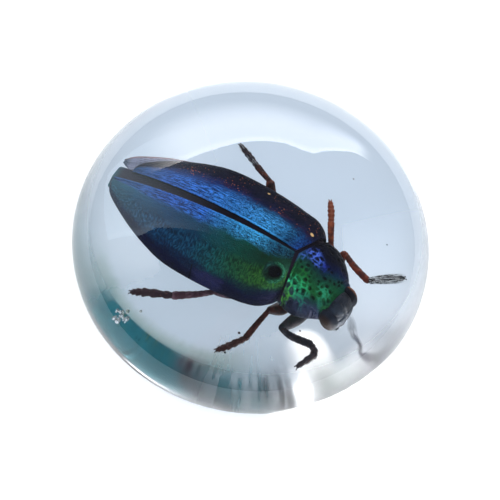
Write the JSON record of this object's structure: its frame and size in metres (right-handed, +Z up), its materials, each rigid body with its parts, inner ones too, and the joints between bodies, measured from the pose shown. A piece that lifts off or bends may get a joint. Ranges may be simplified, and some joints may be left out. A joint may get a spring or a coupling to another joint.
{
  "type": "insect in resin block",
  "caption": "Blue-green metallic jewel beetle with spread legs, sealed in a clear round resin block, domed above and below, that rests on a small flat.",
  "frame": {"origin": "centre of the flat that the block rests on", "axes": "+Z up out of the domed top, +X the way the beetle faces, +Y to the beetle's left"},
  "size_m": [0.06, 0.06, 0.0226],
  "materials": {
    "clear_resin": "polished, clear, faint blue-grey",
    "wing_case_cuticle": "metallic iridescent blue to green, finely wrinkled",
    "shield_cuticle": "metallic iridescent green and blue-violet, coarsely pitted",
    "head_cuticle": "dull slate blue with brown eyes",
    "dark_cuticle": "dark purple-brown, satin",
    "membrane": "thin smoky grey-mauve sheet",
    "leg_cuticle": "red-brown to dark brown, satin"
  },
  "bodies": {
    "root": {"resin_top": "clear_resin", "resin_bottom": "clear_resin", "body": "dark_cuticle", "wing_case_left": "wing_case_cuticle", "wing_case_right": "wing_case_cuticle", "hind_wing_left": "membrane", "pronotum": "shield_cuticle", "head": "head_cuticle", "leg_hind_right": "leg_cuticle", "leg_hind_left": "leg_cuticle", "leg_middle_right": "leg_cuticle", "leg_middle_left": "leg_cuticle", "leg_front_right": "leg_cuticle", "leg_front_left": "leg_cuticle"}
  },
  "joints": []
}
